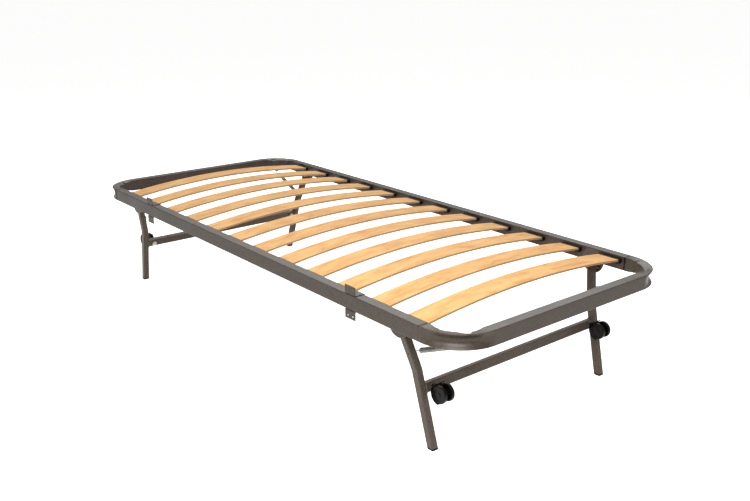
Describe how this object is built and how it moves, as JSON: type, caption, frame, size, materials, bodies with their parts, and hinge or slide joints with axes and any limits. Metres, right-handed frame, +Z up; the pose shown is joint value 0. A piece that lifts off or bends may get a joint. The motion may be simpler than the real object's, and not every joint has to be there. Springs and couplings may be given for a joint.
{
  "type": "rollaway bed frame",
  "caption": "Slatted single bed frame with rounded steel-tube corners, bowed wooden slats and two folding leg frames with side-mounted casters.",
  "frame": {"origin": "on the floor, under the middle of the bed", "axes": "+X along the bed to its foot end, +Y across it to the back side, away from the panel brackets, +Z up"},
  "size_m": [1.9, 0.804, 0.378],
  "materials": {
    "frame_paint": "satin taupe-grey powder coat",
    "leg_paint": "satin dark grey-brown powder coat",
    "slat_wood": "clear-lacquered laminated beech",
    "black_plastic": "moulded black polypropylene",
    "wheel_plastic": "black nylon, slightly polished by use",
    "zinc": "bright zinc plate"
  },
  "bodies": {
    "frame": {"side_rail_front": "frame_paint", "side_rail_back": "frame_paint", "end_tube_head": "frame_paint", "end_tube_foot": "frame_paint", "slat_01": "slat_wood", "slat_02": "slat_wood", "slat_03": "slat_wood", "slat_04": "slat_wood", "slat_05": "slat_wood", "slat_06": "slat_wood", "slat_07": "slat_wood", "slat_08": "slat_wood", "slat_09": "slat_wood", "slat_10": "slat_wood", "slat_11": "slat_wood", "slat_12": "slat_wood", "slat_holders_front": "black_plastic", "slat_holders_back": "black_plastic", "pivot_plate_head_front": "leg_paint", "pivot_plate_head_back": "leg_paint", "pivot_plate_foot_front": "leg_paint", "pivot_plate_foot_back": "leg_paint", "pivot_bolts": "zinc", "pivot_nuts": "zinc", "panel_bracket_head": "frame_paint", "panel_bracket_foot": "frame_paint", "spring_anchors": "leg_paint", "leg_spring_head_front": "zinc", "leg_spring_head_back": "zinc", "leg_spring_foot_front": "zinc", "leg_spring_foot_back": "zinc"},
    "leg_frame_head": {"leg_tube_head_front": "leg_paint", "leg_tube_head_back": "leg_paint", "leg_caps_head": "black_plastic", "cross_bar_head": "leg_paint", "caster_stems_head": "zinc", "caster_nuts_head": "zinc"},
    "caster_head_front": {"caster_housing_head_front": "black_plastic", "caster_axle_head_front": "zinc"},
    "wheel_outer_head_front": {"caster_wheel_outer_head_front": "wheel_plastic"},
    "wheel_inner_head_front": {"caster_wheel_inner_head_front": "wheel_plastic"},
    "caster_head_back": {"caster_housing_head_back": "black_plastic", "caster_axle_head_back": "zinc"},
    "wheel_outer_head_back": {"caster_wheel_outer_head_back": "wheel_plastic"},
    "wheel_inner_head_back": {"caster_wheel_inner_head_back": "wheel_plastic"},
    "leg_frame_foot": {"leg_tube_foot_front": "leg_paint", "leg_tube_foot_back": "leg_paint", "leg_caps_foot": "black_plastic", "cross_bar_foot": "leg_paint", "caster_stems_foot": "zinc", "caster_nuts_foot": "zinc"},
    "caster_foot_front": {"caster_housing_foot_front": "black_plastic", "caster_axle_foot_front": "zinc"},
    "wheel_outer_foot_front": {"caster_wheel_outer_foot_front": "wheel_plastic"},
    "wheel_inner_foot_front": {"caster_wheel_inner_foot_front": "wheel_plastic"},
    "caster_foot_back": {"caster_housing_foot_back": "black_plastic", "caster_axle_foot_back": "zinc"},
    "wheel_outer_foot_back": {"caster_wheel_outer_foot_back": "wheel_plastic"},
    "wheel_inner_foot_back": {"caster_wheel_inner_foot_back": "wheel_plastic"}
  },
  "joints": [
    {"name": "leg_fold_head", "type": "hinge", "parent": "frame", "child": "leg_frame_head", "pos_m": [-0.718, 0, 0.319], "axis": [0, -1, 0], "range_deg": [0, 104.6], "deforming": ["leg_spring_head_front", "leg_spring_head_back"]},
    {"name": "caster_swivel_head_front", "type": "hinge", "parent": "leg_frame_head", "child": "caster_head_front", "pos_m": [-0.77139, -0.305, 0.15352], "axis": [-0.9678, 0, 0.2518], "continuous": true},
    {"name": "wheel_spin_outer_head_front", "type": "hinge", "parent": "caster_head_front", "child": "wheel_outer_head_front", "pos_m": [-0.81001, -0.3175, 0.14807], "axis": [0, 1, 0], "continuous": true},
    {"name": "wheel_spin_inner_head_front", "type": "hinge", "parent": "caster_head_front", "child": "wheel_inner_head_front", "pos_m": [-0.81001, -0.2903, 0.14807], "axis": [0, 1, 0], "continuous": true},
    {"name": "caster_swivel_head_back", "type": "hinge", "parent": "leg_frame_head", "child": "caster_head_back", "pos_m": [-0.77139, 0.305, 0.15352], "axis": [-0.9678, 0, 0.2518], "continuous": true},
    {"name": "wheel_spin_outer_head_back", "type": "hinge", "parent": "caster_head_back", "child": "wheel_outer_head_back", "pos_m": [-0.81001, 0.3175, 0.14807], "axis": [0, 1, 0], "continuous": true},
    {"name": "wheel_spin_inner_head_back", "type": "hinge", "parent": "caster_head_back", "child": "wheel_inner_head_back", "pos_m": [-0.81001, 0.2903, 0.14807], "axis": [0, 1, 0], "continuous": true},
    {"name": "leg_fold_foot", "type": "hinge", "parent": "frame", "child": "leg_frame_foot", "pos_m": [0.718, 0, 0.319], "axis": [0, 1, 0], "range_deg": [0, 104.6], "deforming": ["leg_spring_foot_front", "leg_spring_foot_back"]},
    {"name": "caster_swivel_foot_front", "type": "hinge", "parent": "leg_frame_foot", "child": "caster_foot_front", "pos_m": [0.77139, -0.305, 0.15352], "axis": [0.9678, 0, 0.2518], "continuous": true},
    {"name": "wheel_spin_outer_foot_front", "type": "hinge", "parent": "caster_foot_front", "child": "wheel_outer_foot_front", "pos_m": [0.81001, -0.3175, 0.14807], "axis": [0, 1, 0], "continuous": true},
    {"name": "wheel_spin_inner_foot_front", "type": "hinge", "parent": "caster_foot_front", "child": "wheel_inner_foot_front", "pos_m": [0.81001, -0.2903, 0.14807], "axis": [0, 1, 0], "continuous": true},
    {"name": "caster_swivel_foot_back", "type": "hinge", "parent": "leg_frame_foot", "child": "caster_foot_back", "pos_m": [0.77139, 0.305, 0.15352], "axis": [0.9678, 0, 0.2518], "continuous": true},
    {"name": "wheel_spin_outer_foot_back", "type": "hinge", "parent": "caster_foot_back", "child": "wheel_outer_foot_back", "pos_m": [0.81001, 0.3175, 0.14807], "axis": [0, 1, 0], "continuous": true},
    {"name": "wheel_spin_inner_foot_back", "type": "hinge", "parent": "caster_foot_back", "child": "wheel_inner_foot_back", "pos_m": [0.81001, 0.2903, 0.14807], "axis": [0, 1, 0], "continuous": true}
  ]
}
